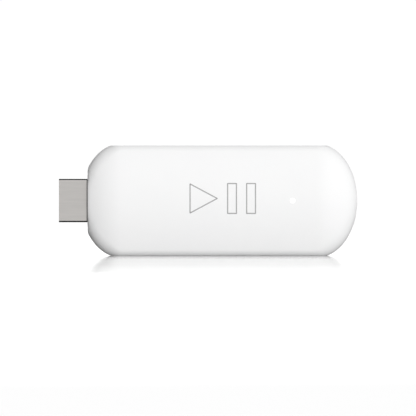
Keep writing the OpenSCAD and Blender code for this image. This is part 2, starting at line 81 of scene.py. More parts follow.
def stations():
    """Places round the case: where each starts on the middle line, and which way it runs out."""
    run = np.linspace(-half_straight, half_straight, straight_places)
    flat_turn = math.degrees(math.acos(half_height / round_half_height))
    stretch = end_reach / round_half_height
    plug_turn = math.degrees(math.acos((plug_face - half_straight) / stretch / round_half_height))
    side = 90 - flat_turn
    right = np.concatenate([np.linspace(90, side, turn_places),
        np.linspace(side, -side, arc_places)[1:], np.linspace(-side, -90, turn_places)[1:]])[1:-1]
    upper = np.concatenate([np.linspace(90, side, turn_places),
        np.linspace(side, plug_turn, shoulder_places)[1:], np.linspace(plug_turn, 0, plug_places)[1:]])
    left = np.concatenate([-upper, upper[::-1][1:]])[1:-1]
    start = np.concatenate([run, np.full(len(right), half_straight), run[::-1],
        np.full(len(left), -half_straight)])
    out_x = np.concatenate([0 * run, np.cos(np.radians(right)), 0 * run,
        -np.cos(np.radians(left))])
    out_z = np.concatenate([0 * run + 1, np.sin(np.radians(right)), 0 * run - 1,
        np.sin(np.radians(left))])
    return start, out_x, out_z


def eased(distance, limit, soften):
    """A distance held at a limit, with a small round instead of a hard corner."""
    over = distance - limit
    blend = distance - (over + soften) ** 2 / (4 * soften)
    return np.where(over <= -soften, distance, np.where(over >= soften, limit, blend))


# Where the crown meets the roll into the sides: the straight part has a tight roll, and the
# round ends have a wider one, which fades in over the first degrees of their turn.
end_roll_start = 13.8 * mm
fade_turn = 25


def roll(inset, out_z):
    """The roll at each station: a quarter ellipse that takes over smoothly from the crown."""
    reach = round_half_height - inset
    crown = crown_radius - inset
    end_share = np.clip(np.degrees(np.arccos(np.clip(abs(out_z), 0, 1))) / fade_turn, 0, 1)
    end_share = end_share ** 2 * (3 - 2 * end_share)
    straight_meet = math.asin((round_half_height - edge_radius) / (crown_radius - edge_radius))
    end_meet = math.asin(end_roll_start / crown_radius)
    meet = straight_meet + (end_meet - straight_meet) * end_share
    drop = half_depth - inset - crown + crown * np.cos(meet) - band_half_depth
    width = reach - crown * np.sin(meet)
    lead = width ** 2 / (drop / np.tan(meet) - 2 * width)
    across = width + lead
    deep = drop / np.sqrt(1 - (lead / across) ** 2)
    return meet, across, deep, np.arcsin(lead / across)


# Rows of the skin, and how soft its edges are: the edge round the flats takes up a share of the
# way from there to the seam, and the one round the plug is softer out on the shoulders.
face_rows = 61
face_crowding = 0.35
edge_rows = 9
edge_share = 0.22
seam_clearance = 0.05 * mm
flat_softness = 0.08 * mm
plug_softness = 1.0 * mm
shoulder_start = 0.83
shoulder_width = 0.08
plug_flat_start = 0.915
plug_flat_width = 0.03
plug_flat_crispness = 0.6


def skin(inset, side):
    """One half's skin, set in from the outside: a grid of points, section rows by stations."""
    start, out_x, out_z = stations()
    reach = round_half_height - inset
    crown = crown_radius - inset
    stretch = (end_reach - inset) / reach
    meet, across, deep, turn = roll(inset, out_z)
    centre = reach - across
    pace = (across + deep) / 2
    crown_length = crown * meet
    band_start = crown_length + pace * (math.pi / 2 - turn)
    tiny = 1e-9
    cut = np.minimum((half_height - inset) / np.maximum(abs(out_z), tiny),
        (plug_face - inset - half_straight) / np.maximum(-stretch * out_x, tiny))
    on_crown = crown * np.arcsin(np.minimum(cut / crown, 1))
    on_edge = crown_length + pace * (np.arcsin(np.clip((cut - centre) / across, 0, 1)) - turn)
    corner = np.where(cut >= reach, band_start, np.where(cut < crown * np.sin(meet), on_crown, on_edge))
    end = band_start + band_half_depth
    soft = edge_share * (end - corner)
    share = np.linspace(0, 1, face_rows)[:, None]
    face = (corner - soft) * share * (1 + face_crowding - face_crowding * share)
    over = corner + soft * np.linspace(-1, 1, edge_rows)[1:, None]
    flat_length = end - seam_clearance - corner - soft
    flat = corner + soft + flat_length * np.linspace(0, 1, edge_rows)[1:, None]
    along = np.concatenate([face, over, flat])
    on_face = along < crown_length
    angle = np.where(on_face, along / crown, turn + (along - crown_length) / pace)
    angle = np.minimum(angle, math.pi / 2)
    out = np.where(on_face, crown * np.sin(angle), centre + across * np.sin(angle))
    depth = np.where(on_face, half_depth - inset - crown + crown * np.cos(angle),
        band_half_depth + deep * np.cos(angle))
    depth = np.where(along > band_start, end - along, depth)
    shoulder = np.clip((-out_x - shoulder_start) / shoulder_width, 0, 1)
    plug_flat = np.clip((-out_x - plug_flat_start) / plug_flat_width, 0, 1)
    softness = plug_softness * (0.5 + 0.5 * shoulder) * (1 - plug_flat_crispness * plug_flat)
    x = -eased(-start - stretch * out * out_x, plug_face - inset, softness)
    z = np.sign(out_z) * eased(abs(out * out_z), half_height - inset, flat_softness)
    return np.stack([x + middle.x, side * depth, z + middle.z], axis=-1)


def mesh_piece(name, points, faces):
    """A closed mesh from its points and faces, with doubled points joined and faces turned out."""
    mesh = bpy.data.meshes.new(name)
    mesh.from_pydata([tuple(p) for p in points], [], faces)
    bm = bmesh.new()
    bm.from_mesh(mesh)
    bmesh.ops.remove_doubles(bm, verts=bm.verts, dist=0.0005 * mm)
    bmesh.ops.dissolve_degenerate(bm, edges=bm.edges, dist=0.0001 * mm)
    bmesh.ops.recalc_face_normals(bm, faces=bm.faces)
    bm.to_mesh(mesh)
    bm.free()
    piece = bpy.data.objects.new(name, mesh)
    bpy.context.scene.collection.objects.link(piece)
    return piece


light_low, light_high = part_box("light_pipe")
light_x = (light_low.x + light_high.x) / 2
light_hole_radius = 0.85 * mm


seam_gap = 0.01 * mm
seam_relief = 0.07 * mm
patch_half = 3.4 * mm
patch_rows = 7
patch_rings = 8
ring_crowding = 0.7
hole_bevel = 0.05 * mm


def shell(name, side, lit):
    """One half of the case. The front half has the round hole for the light's window."""
    outer = skin(0, side)
    lip = skin(seam_relief, side)[-1:].copy()
    lip[..., 1] = side * seam_gap
    inner = skin(wall, side)
    inner[-1, :, 1] = side * seam_gap
    rows, count = outer.shape[:2]
    start, out_x, out_z = stations()
    near = (abs(start + middle.x - light_x) < patch_half) & (out_x == 0)
    grid = np.concatenate([outer, lip, inner[::-1]])
    faces = []
    for row in range(len(grid) - 1):
        level = min(row, 2 * rows - row - 1)
        for station in range(count):
            following = (station + 1) % count
            in_patch = lit and level < patch_rows and near[station] and near[following]
            if not in_patch:
                faces.append((row * count + station, row * count + following,
                    (row + 1) * count + following, (row + 1) * count + station))
    points = grid.reshape(-1, 3)
    if lit:
        points, faces = open_light_hole(points, faces, near, count, side)
    return mesh_piece(name, points, faces)


def open_light_hole(points, faces, near, count, side):
    """Rings of faces from the gap left in the grid down to the round hole, on both skins."""
    top = [s for s in range(count) if near[s] and s < count // 2]
    bottom = [s for s in range(count) if near[s] and s >= count // 2]
    last_row = len(points) // count - 1
    added = [tuple(p) for p in points]
    holes = []
    for inside in (False, True):
        inset = wall if inside else 0
        row = (lambda k: last_row - k) if inside else (lambda k: k)
        rim = [row(patch_rows) * count + s for s in top]
        rim += [row(k) * count + top[-1] for k in range(patch_rows - 1, 0, -1)]
        rim += [row(k) * count + bottom[0] for k in range(0, patch_rows)]
        rim += [row(patch_rows) * count + s for s in bottom]
        rim += [row(k) * count + bottom[-1] for k in range(patch_rows - 1, 0, -1)]
        rim += [row(k) * count + top[0] for k in range(0, patch_rows)]
        loop = rim
        shares = [(step / patch_rings) ** ring_crowding for step in range(1, patch_rings + 1)]
        for share in shares + [None]:
            ring = []
            for corner in rim:
                spoke = Vector((added[corner][0] - light_x, 0, added[corner][2] - middle.z))
                reach = spoke.length
                if share is None:
                    out = light_hole_radius
                else:
                    out = reach + (light_hole_radius + hole_bevel - reach) * share
                spot = spoke * (out / reach)
                crown = crown_radius - inset
                depth = half_depth - inset - crown + math.sqrt(crown ** 2 - spot.z ** 2)
                if share is None:
                    depth += hole_bevel if inside else -hole_bevel
                ring.append(len(added))
                added.append((light_x + spot.x, side * depth, middle.z + spot.z))
            for k in range(len(loop)):
                n = (k + 1) % len(loop)
                faces.append((loop[k], loop[n], ring[n], ring[k]))
            loop = ring
        holes.append(loop)
    for k in range(len(holes[0])):
        n = (k + 1) % len(holes[0])
        faces.append((holes[0][k], holes[0][n], holes[1][n], holes[1][k]))
    return added, faces


case_front = shell("case_front", FRONT, True)
case_back = shell("case_back", BACK, False)


# Openings across the seam. The plug, the power inlet and the button come out through mouths
# that are moulded half in each shell, each with a small chamfer at its outer edge.
def rounded(corners, radius, grow=0, steps=6):
    """An outline with round corners, all of it moved out by grow."""
    area = sum(a[0] * b[1] - b[0] * a[1] for a, b in zip(corners, corners[1:] + corners[:1]))
    ring = [Vector(c) for c in (corners if area > 0 else corners[::-1])]
    outline = []
    for k, corner in enumerate(ring):
        before = (corner - ring[k - 1]).normalized()
        after = (ring[(k + 1) % len(ring)] - corner).normalized()
        out_a = Vector((before.y, -before.x))
        out_b = Vector((after.y, -after.x))
        centre = corner - (out_a + out_b) * (radius / (1 + out_a.dot(out_b)))
        turn = out_a.angle(out_b)
        for step in range(steps + 1):
            share = step / steps
            mix = (out_a * math.sin((1 - share) * turn) + out_b * math.sin(share * turn)) / math.sin(turn)
            outline.append(centre + mix * (radius + grow))
    return outline


def lofted(name, loops, closed=False):
    """A mesh skinned over loops of points; its ends are capped, or joined to each other."""
    count = len(loops[0])
    points = [p for loop in loops for p in loop]
    faces = []
    spans = len(loops) if closed else len(loops) - 1
    for row in range(spans):
        first = row * count
        second = (row + 1) % len(loops) * count
        for k in range(count):
            n = (k + 1) % count
            faces.append((first + k, first + n, second + n, second + k))
    if not closed:
        faces.append(tuple(range(count)))
        faces.append(tuple(range(len(points) - count, len(points))))
    return mesh_piece(name, points, faces)


def cut_away(piece, tool):
    """Takes a closed tool mesh out of a piece, exactly, and throws the tool away."""
    combine(piece, tool, "DIFFERENCE")


def weld_on(piece, part):
    """Joins a closed part to a piece as one solid."""
    combine(piece, part, "UNION")


def combine(piece, other, operation):
    """One exact boolean, applied to the piece's mesh at once."""
    step = piece.modifiers.new("combine", "BOOLEAN")
    step.object = other
    step.operation = operation
    step.solver = "EXACT"
    bpy.context.view_layer.update()
    result = bpy.data.meshes.new_from_object(piece.evaluated_get(bpy.context.evaluated_depsgraph_get()))
    piece.modifiers.clear()
    old = piece.data
    piece.data = result
    bpy.data.meshes.remove(old)
    used = other.data
    bpy.data.objects.remove(other)
    bpy.data.meshes.remove(used)


plug_low, plug_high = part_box("hdmi_shell")
plug_tip = plug_low.x
plug_back = plug_high.x
plug_half_width = 13.9 / 2 * mm
plug_half_depth = 4.45 / 2 * mm
plug_narrow = 5.1 * mm
plug_shoulder = 0.1 * mm
plug_corners = [(-plug_half_depth, -plug_half_width), (plug_shoulder, -plug_half_width),
    (plug_half_depth, -plug_narrow), (plug_half_depth, plug_narrow),
    (plug_shoulder, plug_half_width), (-plug_half_depth, plug_half_width)]
plug_bend = 0.4 * mm


def plug_loop(x, grow):
    """The plug's outline, across the case at x."""
    return [(x, p.x, middle.z + p.y) for p in rounded(plug_corners, plug_bend, grow)]


inlet_low, inlet_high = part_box("usb_shell")
inlet_x = (inlet_low.x + inlet_high.x) / 2
inlet_mouth = inlet_high.z
inlet_back = inlet_low.z
inlet_half_width = 7.5 / 2 * mm
inlet_half_depth = 2.5 / 2 * mm
inlet_shoulder = 0.2 * mm
inlet_slope = 0.75 * mm
inlet_corners = [(-inlet_half_width, -inlet_half_depth), (inlet_half_width, -inlet_half_depth),
    (inlet_half_width, inlet_shoulder), (inlet_half_width - inlet_slope, inlet_half_depth),
    (-inlet_half_width + inlet_slope, inlet_half_depth), (-inlet_half_width, inlet_shoulder)]
inlet_bend = 0.35 * mm


def inlet_loop(z, grow):
    """The power inlet's outline, level at a height z."""
    return [(inlet_x + p.x, p.y, z) for p in rounded(inlet_corners, inlet_bend, grow)]


button_low, button_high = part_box("reset_button")
button_x = (button_low.x + button_high.x) / 2
button_half_length = 2.5 * mm
button_half_width = 1 * mm


def button_loop(z, grow):
    """The button's outline, a slot shape with full round ends, level at a height z."""
    length = button_half_length
    width = button_half_width
    sides = [(-length, -width), (length, -width), (length, width), (-length, width)]
    return [(button_x + p.x, p.y, z) for p in rounded(sides, width - 0.001 * mm, grow, 12)]


case_top = middle.z + half_height
chamfer = 0.15 * mm
spare = 0.4 * mm
plug_gap = 0.12 * mm
inlet_gap = 0.15 * mm
button_gap = 0.1 * mm
deep = 4 * mm
case_left = front_low.x
for case_half in (case_front, case_back):
    plug_mouth = lofted("plug_mouth", [plug_loop(case_left - spare, plug_gap + chamfer + spare),
        plug_loop(case_left + chamfer, plug_gap), plug_loop(case_left + deep, plug_gap)])
    cut_away(case_half, plug_mouth)
    inlet_hole = lofted("inlet_hole", [inlet_loop(case_top + spare, inlet_gap + chamfer + spare),
        inlet_loop(case_top - chamfer, inlet_gap), inlet_loop(case_top - deep, inlet_gap)])
    cut_away(case_half, inlet_hole)
    button_hole = lofted("button_hole", [button_loop(case_top + spare, button_gap + chamfer / 2 + spare),
        button_loop(case_top - chamfer / 2, button_gap), button_loop(case_top - deep, button_gap)])
    cut_away(case_half, button_hole)


def smooth(piece, sharp_degrees):
    """Soft shading, kept crisp at bends sharper than the angle."""
    piece.data.polygons.foreach_set("use_smooth", [True] * len(piece.data.polygons))
    piece.data.set_sharp_from_angle(angle=math.radians(sharp_degrees))


def new_material(name):
    """A fresh node material: its nodes, its links and its shader."""
    material = bpy.data.materials.new(name)
    material.use_nodes = True
    shader = material.node_tree.nodes["Principled BSDF"]
    return material, material.node_tree.nodes, material.node_tree.links, shader


def grain(nodes, links, scale, detail=3.0, stretch=(1, 1, 1)):
    """Noise laid in the piece's own space, so that it stays put when the piece moves."""
    place = nodes.new("ShaderNodeTexCoord")
    mapping = nodes.new("ShaderNodeMapping")
    mapping.inputs["Scale"].default_value = stretch
    noise = nodes.new("ShaderNodeTexNoise")
    noise.inputs["Scale"].default_value = scale
    noise.inputs["Detail"].default_value = detail
    links.new(place.outputs["Object"], mapping.inputs["Vector"])
    links.new(mapping.outputs["Vector"], noise.inputs["Vector"])
    return noise


def spread(nodes, links, source, low, high):
    """Turns a noise between 0 and 1 into a value between low and high."""
    span = nodes.new("ShaderNodeMapRange")
    span.inputs["To Min"].default_value = low
    span.inputs["To Max"].default_value = high
    links.new(source, span.inputs["Value"])
    return span.outputs["Result"]


def tinted(nodes, links, source, shades):
    """A colour ramp over a noise, from the first shade to the last."""
    ramp = nodes.new("ShaderNodeValToRGB")
    ramp.color_ramp.elements[0].position = 0.3
    ramp.color_ramp.elements[0].color = (*shades[0], 1)
    ramp.color_ramp.elements[1].position = 0.7
    ramp.color_ramp.elements[1].color = (*shades[1], 1)
    links.new(source, ramp.inputs["Fac"])
    return ramp.outputs["Color"]


def raised(nodes, links, shader, height, distance, strength=1.0):
    """Surface relief from a height, in metres."""
    bump = nodes.new("ShaderNodeBump")
    bump.inputs["Strength"].default_value = strength
    bump.inputs["Distance"].default_value = distance
    links.new(height, bump.inputs["Height"])
    links.new(bump.outputs["Normal"], shader.inputs["Normal"])


def white_moulding(name, shades, gloss):
    """Satin white ABS: a faint cloudiness, an even gloss and the fine etch of the tool."""
    material, nodes, links, shader = new_material(name)
    cloud = grain(nodes, links, 90, 2.0)
    etch = grain(nodes, links, 5200, 2.0)
    links.new(tinted(nodes, links, cloud.outputs["Fac"], shades), shader.inputs["Base Color"])
    links.new(spread(nodes, links, cloud.outputs["Fac"], gloss[0], gloss[1]), shader.inputs["Roughness"])
    raised(nodes, links, shader, etch.outputs["Fac"], 0.004 * mm, 0.35)
    shader.inputs["IOR"].default_value = 1.5
    return material


case_white = white_moulding("case_white", ((0.895, 0.896, 0.898), (0.905, 0.906, 0.906)), (0.34, 0.4))
for case_half, node in ((case_front, "front_shell"), (case_back, "rear_shell")):
    case_half.data.materials.append(case_white)
    smooth(case_half, 38)
    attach(case_half, "case")
    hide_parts(node)

# Light window. A short rod of clear styrene with milky filler, pressed into its hole from
# inside until its flange stops it. Its polished, slightly domed end lies flush with the front.
window_radius = 0.8 * mm
window_flange = 1.7 * mm
window_face = light_low.y
window_tail = light_high.y
flange_front = front_low.y + wall + 0.05 * mm
flange_back = front_low.y + wall + 0.5 * mm


def ring_at(y, radius):
    """A level circle round the light's axis, at a depth y."""
    turns = 48
    return [(light_x + radius * math.cos(2 * math.pi * k / turns), y,
        middle.z + radius * math.sin(2 * math.pi * k / turns)) for k in range(turns)]


edge = 0.06 * mm
edge_depth = 0.03 * mm
dome = ((0.2, 0), (0.55, 0.004 * mm), (0.85, 0.015 * mm))
window_loops = [ring_at(window_face + depth, window_radius * share) for share, depth in dome]
window_loops += [ring_at(window_face + edge_depth, window_radius - edge),
    ring_at(window_face + 0.05 * mm, window_radius - edge * 0.3),
    ring_at(window_face + edge_depth + edge, window_radius), ring_at(flange_front, window_radius),
    ring_at(flange_front, window_flange - edge), ring_at(flange_front + edge, window_flange),
    ring_at(flange_back - edge, window_flange), ring_at(flange_back, window_flange - edge),
    ring_at(flange_back, window_radius), ring_at(window_tail - edge, window_radius),
    ring_at(window_tail, window_radius - edge)]
light_window = lofted("light_window", window_loops)
smooth(light_window, 40)
milky, nodes, links, shader = new_material("milky_window")
haze = grain(nodes, links, 900, 2.0)
links.new(tinted(nodes, links, haze.outputs["Fac"], ((0.96, 0.96, 0.96), (1, 1, 1))),
    shader.inputs["Base Color"])
links.new(spread(nodes, links, haze.outputs["Fac"], 0.08, 0.14), shader.inputs["Roughness"])
# Painted glow: the faint white emission makes the window shine brighter than the case, though no lamp
# lights it.
shader.inputs["Emission Color"].default_value = (1, 1, 1, 1)
shader.inputs["Emission Strength"].default_value = 0.3
light_window.data.materials.append(milky)
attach(light_window, "case")
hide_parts("light_pipe")

# Printed sign. A plain outlined play triangle and two pause bars, pad-printed in pale grey ink
# on the front face; the ink film follows the crown and stands only a hair above it.
sign_left = -9.46 * mm
sign_right = 11.88 * mm
sign_top = 5.65 * mm
sign_bottom = -4.3 * mm
stroke = 0.38 * mm
ink = 0.012 * mm
bar_width = 3.2 * mm
bar_gap = 2.9 * mm
triangle_width = 9.3 * mm
corner_radius = 0.25 * mm
root = 0.02 * mm
long_side = 1 * mm
long_pieces = 12


def outline_print(name, corners):
    """A closed printed line of one stroke's width, laid on the crown of the front face."""
    half = stroke / 2
    centred = rounded(corners, corner_radius, -half, 4)
    edges = [rounded(corners, corner_radius, -half + side * half, 4) for side in (1, -1)]
    loops = []
    for loop, rise in ((edges[0], -root), (edges[0], ink), (edges[1], ink), (edges[1], -root)):
        points = []
        for k, point in enumerate(loop):
            following = loop[(k + 1) % len(loop)]
            length = (centred[(k + 1) % len(centred)] - centred[k]).length
            cuts = long_pieces if length > long_side else 1
            for step in range(cuts):
                spot = point.lerp(following, step / cuts)
                points.append((middle.x + spot.x, -crown_depth(spot.y) - rise, middle.z + spot.y))
        loops.append(points)
    return lofted(name, loops, closed=True)


tip_z = (sign_top + sign_bottom) / 2
signs = [outline_print("printed_triangle", [(sign_left, sign_bottom),
    (sign_left + triangle_width, tip_z), (sign_left, sign_top)])]
for number, right in enumerate((sign_right - bar_width - bar_gap, sign_right)):
    left = right - bar_width
    signs.append(outline_print(f"printed_bar_{number + 1}", [(left, sign_bottom), (right, sign_bottom),
        (right, sign_top), (left, sign_top)]))
grey_ink, nodes, links, shader = new_material("grey_ink")
film = grain(nodes, links, 2500, 2.0)
links.new(tinted(nodes, links, film.outputs["Fac"], ((0.36, 0.36, 0.36), (0.42, 0.42, 0.42))),
    shader.inputs["Base Color"])
links.new(spread(nodes, links, film.outputs["Fac"], 0.45, 0.55), shader.inputs["Roughness"])
raised(nodes, links, shader, film.outputs["Fac"], 0.003 * mm, 0.3)
for sign in signs:
    smooth(sign, 40)
    sign.data.materials.append(grey_ink)
    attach(sign, "case")

# Video plug shell. One nickel-plated steel strip, folded round and closed by a butt seam along
# its rear face, with two latch windows punched there and two tabs soldered to the board.
plug_sheet = 0.3 * mm
rolled = 0.06 * mm
plug_shell = lofted("plug_shell", [plug_loop(plug_tip, -rolled), plug_loop(plug_tip + rolled, 0),
    plug_loop(plug_back, 0), plug_loop(plug_back, -plug_sheet),
    plug_loop(plug_tip + rolled, -plug_sheet), plug_loop(plug_tip, rolled - plug_sheet)], closed=True)


def block(name, low, high, radius=0):
    """A block with its upright edges rounded, between two corners."""
    middle_x = (low[0] + high[0]) / 2
    middle_z = (low[2] + high[2]) / 2
    half_x = (high[0] - low[0]) / 2
    half_z = (high[2] - low[2]) / 2
    corners = [(-half_x, -half_z), (half_x, -half_z), (half_x, half_z), (-half_x, half_z)]
    outline = rounded(corners, radius, 0, 4) if radius else [Vector(c) for c in corners]
    return lofted(name, [[(middle_x + p.x, y, middle_z + p.y) for p in outline]
        for y in (low[1], high[1])])


window_length = 2.6 * mm
window_height = 2.2 * mm
window_start = plug_tip + 3.4 * mm
window_z = 2.7 * mm
window_corner = 0.25 * mm
for side in (-1, 1):
    centre = middle.z + side * window_z
    cut_away(plug_shell, block("latch_window", (window_start, 1 * mm, centre - window_height / 2),
        (window_start + window_length, 3 * mm, centre + window_height / 2), window_corner))
seam_half = 0.03 * mm
seam_depth = 0.08 * mm
past = 1 * mm
cut_away(plug_shell, block("plug_seam",
    (plug_tip - past, plug_half_depth - seam_depth, middle.z - seam_half),
    (plug_back + past, plug_half_depth + past, middle.z + seam_half)))
tab_low = 0.5 * mm
tab_high = 0.8 * mm
tab_start = plug_back - 1.9 * mm
tab_root = plug_half_width - 0.2 * mm
tab_end = 9.6 * mm
tab_corner = 0.12 * mm
for side in (-1, 1):
    near, far = sorted((middle.z + side * tab_root, middle.z + side * tab_end))
    weld_on(plug_shell, block("solder_tab", (tab_start, tab_low, near), (plug_back, tab_high, far),
        tab_corner))
smooth(plug_shell, 35)


def tone_along(nodes, links, axis, steps):
    """Tones set out along one axis of a piece, from a list of places and tones."""
    place = nodes.new("ShaderNodeTexCoord")
    parts = nodes.new("ShaderNodeSeparateXYZ")
    reach = nodes.new("ShaderNodeMapRange")
    start = steps[0][0]
    length = steps[-1][0] - start
    reach.inputs["From Min"].default_value = start
    reach.inputs["From Max"].default_value = start + length
    ramp = nodes.new("ShaderNodeValToRGB")
    for number, (position, tone) in enumerate(steps):
        if 0 < number < len(steps) - 1:
            stop = ramp.color_ramp.elements.new((position - start) / length)
        else:
            stop = ramp.color_ramp.elements[0 if number == 0 else -1]
        stop.color = (tone, tone, tone, 1)
    links.new(place.outputs["Object"], parts.inputs["Vector"])
    links.new(parts.outputs[axis], reach.inputs["Value"])
    links.new(reach.outputs["Result"], ramp.inputs["Fac"])
    return ramp.outputs["Color"]


def blended(nodes, links, way, first, second):
    """Two colours put together, such as multiplied or the lighter of the two."""
    both = nodes.new("ShaderNodeMix")
    both.data_type = "RGBA"
    both.blend_type = way
    both.inputs["Factor"].default_value = 1
    links.new(first, both.inputs["A"])
    links.new(second, both.inputs["B"])
    return both.outputs["Result"]


def plated(name, shades, gloss, stretch, tones=None):
    """Plated sheet with fine rolling lines. Tones, when given, paint light and shade into its colour and
    reflection tint: a painted contact shadow at its root, painted dark reflections on its front bends and
    painted highlight lines beside them.
    """
    material, nodes, links, shader = new_material(name)
    lines = grain(nodes, links, 1500, 4.0, stretch)
    cloud = grain(nodes, links, 260, 2.0)
    colour = tinted(nodes, links, lines.outputs["Fac"], shades)
    if tones:
        root, depth, height = [tone_along(nodes, links, axis, tones[axis]) for axis in "XYZ"]
        bends = blended(nodes, links, "LIGHTEN", depth, height)
        tone = blended(nodes, links, "MULTIPLY", root, bends)
        colour = blended(nodes, links, "MULTIPLY", colour, tone)
        links.new(tone, shader.inputs["Specular Tint"])
    links.new(colour, shader.inputs["Base Color"])
    links.new(spread(nodes, links, cloud.outputs["Fac"], gloss[0], gloss[1]), shader.inputs["Roughness"])
    shader.inputs["Metallic"].default_value = 1
    raised(nodes, links, shader, lines.outputs["Fac"], 0.002 * mm, 0.4)
    return material


# Painted light on the plug shell: a thin painted contact shadow round the shell where it enters the case,
# painted dark reflections along its front bends, and painted highlight lines just inside those bends, set
# off by a slightly dimmed front face.
untoned = 1.0
painted_dim_front = 0.92
painted_shade = 0.04
plug_painted_light = {
    "X": [(case_left - 2 * mm, untoned), (case_left - 0.28 * mm, untoned),
        (case_left - 0.22 * mm, painted_shade), (case_left, painted_shade)],
    "Y": [(-plug_half_depth, painted_shade), (-plug_half_depth + 0.42 * mm, painted_shade),
        (-plug_half_depth + 0.5 * mm, untoned), (plug_half_depth, untoned)],
    "Z": [(middle.z + z * mm, tone) for z, tone in ((-6.95, painted_shade), (-6.5, painted_shade),
        (-6.44, untoned), (-6.25, untoned), (-6.15, painted_dim_front), (6.15, painted_dim_front), (6.25, untoned), (6.54, untoned),
        (6.6, painted_shade), (6.95, painted_shade))]}
nickel = plated("nickel_plate", ((0.58, 0.563, 0.546), (0.62, 0.60, 0.581)), (0.3, 0.4), (0.08, 1, 1),
    plug_painted_light)
plug_shell.data.materials.append(nickel)
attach(plug_shell, "case")
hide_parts("hdmi_shell")


# Insulators. The block that lines the plug and the tongue of the power inlet are moulded in
# black glass-filled nylon and pressed into their shells before the shells are soldered down.
def finish(nodes_named, material):
    """Gives CAD pieces their finish, in every material slot that they have."""
    for node_name in nodes_named:
        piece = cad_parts[node_name]
        if not piece.data.materials:
            piece.data.materials.append(material)
        for index in range(len(piece.data.materials)):
            piece.data.materials[index] = material


def moulded(name, shades, gloss, scale, relief, metallic=0.0):
    """A moulded or pressed body with a fine even grain."""
    material, nodes, links, shader = new_material(name)
    speck = grain(nodes, links, scale, 3.0)
    links.new(tinted(nodes, links, speck.outputs["Fac"], shades), shader.inputs["Base Color"])
    links.new(spread(nodes, links, speck.outputs["Fac"], gloss[0], gloss[1]), shader.inputs["Roughness"])
    raised(nodes, links, shader, speck.outputs["Fac"], relief, 0.5)
    shader.inputs["Metallic"].default_value = metallic
    return material


finish(["hdmi_insulator", "usb_tongue"],
    moulded("black_insulator", ((0.014, 0.014, 0.015), (0.024, 0.024, 0.025)), (0.42, 0.55), 3000,
    0.005 * mm))

# Contacts. Stamped from phosphor bronze strip and flashed with gold, nineteen in the plug and
# five in the power inlet.
gold = plated("gold_flash", ((0.78, 0.56, 0.23), (0.88, 0.66, 0.3)), (0.2, 0.32), (0.1, 1, 1))
finish(["hdmi_contacts_front", "hdmi_contacts_rear", "usb_contacts"], gold)

# Power inlet shell. Bright stamped and folded sheet, its mouth just below the upper flat, with
# two tabs soldered to the board.
inlet_sheet = 0.25 * mm
inlet_rolled = 0.05 * mm
inlet_shell = lofted("inlet_shell", [inlet_loop(inlet_mouth, -inlet_rolled),
    inlet_loop(inlet_mouth - inlet_rolled, 0), inlet_loop(inlet_back, 0),
    inlet_loop(inlet_back, -inlet_sheet), inlet_loop(inlet_mouth - inlet_rolled, -inlet_sheet),
    inlet_loop(inlet_mouth, inlet_rolled - inlet_sheet)], closed=True)
inlet_tab_root = inlet_half_width - 0.15 * mm
inlet_tab_reach = inlet_half_width - 0.125 * mm + 1.6 * mm
inlet_tab_start = inlet_back + 0.4 * mm
inlet_tab_end = inlet_tab_start + 1.6 * mm
inlet_tab_front = -0.75 * mm
for side in (-1, 1):
    near, far = sorted((inlet_x + side * inlet_tab_root, inlet_x + side * inlet_tab_reach))
    weld_on(inlet_shell, block("inlet_tab", (near, inlet_tab_front, inlet_tab_start),
        (far, inlet_tab_front + inlet_sheet, inlet_tab_end), tab_corner))
smooth(inlet_shell, 35)
bright_sheet = plated("bright_sheet", ((0.6, 0.6, 0.61), (0.68, 0.68, 0.69)), (0.2, 0.3), (1, 1, 0.08))
inlet_shell.data.materials.append(bright_sheet)
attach(inlet_shell, "case")
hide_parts("usb_shell")

# Reset button. A white moulded cap that lies flush in the upper flat. A flange under the wall
# keeps it in, and its square stem presses the switch below.
flange_top = middle.z + half_height - wall - 0.05 * mm
flange_base = flange_top - 0.5 * mm
flange_grow = 0.75 * mm
flange_edge = 0.05 * mm
button_top = button_high.z
crest = 0.18 * mm
crest_steps = 6
dish = ((0.01 * mm, 0.5 * mm), (0.04 * mm, 0.8 * mm))
cap_loops = [button_loop(flange_base, flange_grow - flange_edge),
    button_loop(flange_base + flange_edge, flange_grow),
    button_loop(flange_top - flange_edge, flange_grow),
    button_loop(flange_top, flange_grow - flange_edge),
    button_loop(flange_top, 0), button_loop(button_top - crest, 0)]
for step in range(1, crest_steps + 1):
    turn = math.radians(90 / crest_steps * step)
    cap_loops.append(button_loop(button_top - crest * (1 - math.sin(turn)), -crest * (1 - math.cos(turn))))
for sunk, set_in in dish:
    cap_loops.append(button_loop(button_top - sunk, -set_in))
reset_cap = lofted("reset_cap", cap_loops)
stem = 0.9 * mm
stem_overlap = 0.1 * mm
weld_on(reset_cap, block("button_stem", (button_x - stem, -stem, button_low.z),
    (button_x + stem, stem, flange_base + stem_overlap)))
smooth(reset_cap, 38)
reset_cap.data.materials.append(white_moulding("button_white", ((0.865, 0.866, 0.87), (0.88, 0.88, 0.882)),
    (0.36, 0.44)))
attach(reset_cap, "button")
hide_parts("reset_button")

# Switch under the button: a grey nylon housing and plunger, and an arched strip of spring steel.
finish(["switch_body", "switch_plunger"],
    moulded("grey_nylon", ((0.05, 0.05, 0.055), (0.07, 0.07, 0.075)), (0.4, 0.5), 2600, 0.006 * mm))
finish(["switch_dome"],
    plated("spring_strip", ((0.66, 0.66, 0.68), (0.74, 0.74, 0.76)), (0.12, 0.2), (0.1, 1, 1)))

